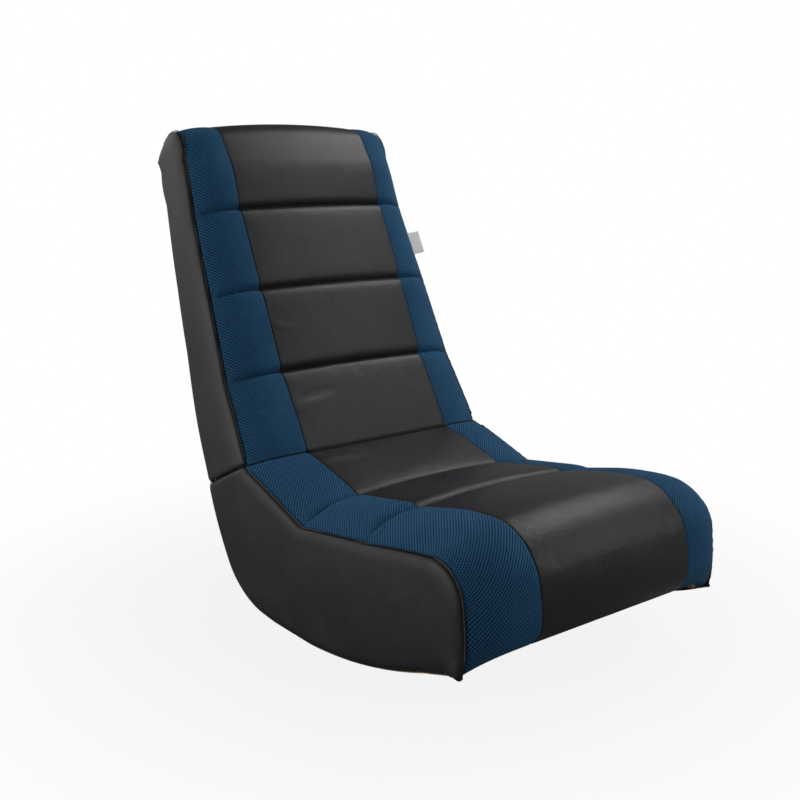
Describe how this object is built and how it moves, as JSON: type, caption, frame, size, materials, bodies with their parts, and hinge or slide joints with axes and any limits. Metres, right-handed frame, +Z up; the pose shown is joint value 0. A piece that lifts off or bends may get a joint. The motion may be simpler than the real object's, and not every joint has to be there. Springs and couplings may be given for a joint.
{
  "type": "gaming rocker chair",
  "caption": "Folding floor rocker for gaming: quilted black vinyl seat and back with blue mesh side strips, on two curved padded runners.",
  "frame": {"origin": "on the floor, midway between the short flats that the two runners rest on, under the middle of the chair", "axes": "the sitter faces -Y, +Z is up, +X is the sitter's left"},
  "size_m": [0.432, 0.7578, 0.6619],
  "materials": {
    "black_vinyl": "satin",
    "blue_mesh": "matte",
    "black_lining": "matte",
    "foam": "matte",
    "plywood": "matte",
    "hardboard": "matte",
    "zinc_steel": "satin",
    "white_ribbon": "matte"
  },
  "bodies": {
    "seat_section": {"bottom_staples": "zinc_steel", "fold_seam": "black_lining", "hinge_pins": "zinc_steel", "hinge_seat_leaves": "zinc_steel", "hinge_seat_screws": "zinc_steel", "seat_bottom_board": "hardboard", "seat_centre_pad": "black_vinyl", "seat_deck": "plywood", "seat_foam_core": "foam", "seat_frame_screws": "zinc_steel", "seat_front_rail": "plywood", "seat_gap_cover": "black_lining", "seat_hinge_rail": "plywood", "seat_mesh_left": "blue_mesh", "seat_mesh_right": "blue_mesh", "seat_mid_rail": "plywood", "seat_rear_rail": "plywood", "seat_side_cover_left": "black_vinyl", "seat_side_cover_right": "black_vinyl", "seat_side_panel_left": "plywood", "seat_side_panel_right": "plywood"},
    "back_section": {"back_centre_pad": "black_vinyl", "back_deck": "hardboard", "back_foam_core": "foam", "back_frame_screws": "zinc_steel", "back_gap_cover": "black_lining", "back_hinge_rail": "plywood", "back_mesh_left": "blue_mesh", "back_mesh_right": "blue_mesh", "back_mid_rail": "plywood", "back_rear_cover": "black_vinyl", "back_side_cover_left": "black_vinyl", "back_side_cover_right": "black_vinyl", "back_side_foam_left": "foam", "back_side_foam_right": "foam", "back_side_panel_left": "plywood", "back_side_panel_right": "plywood", "back_top_rail": "plywood", "hinge_back_leaves": "zinc_steel", "hinge_back_screws": "zinc_steel", "label_tag": "white_ribbon"}
  },
  "joints": [
    {"name": "back_fold", "type": "hinge", "parent": "seat_section", "child": "back_section", "pos_m": [0, 0.088, 0.216], "axis": [1, 0, 0], "range_deg": [0, 104]}
  ]
}
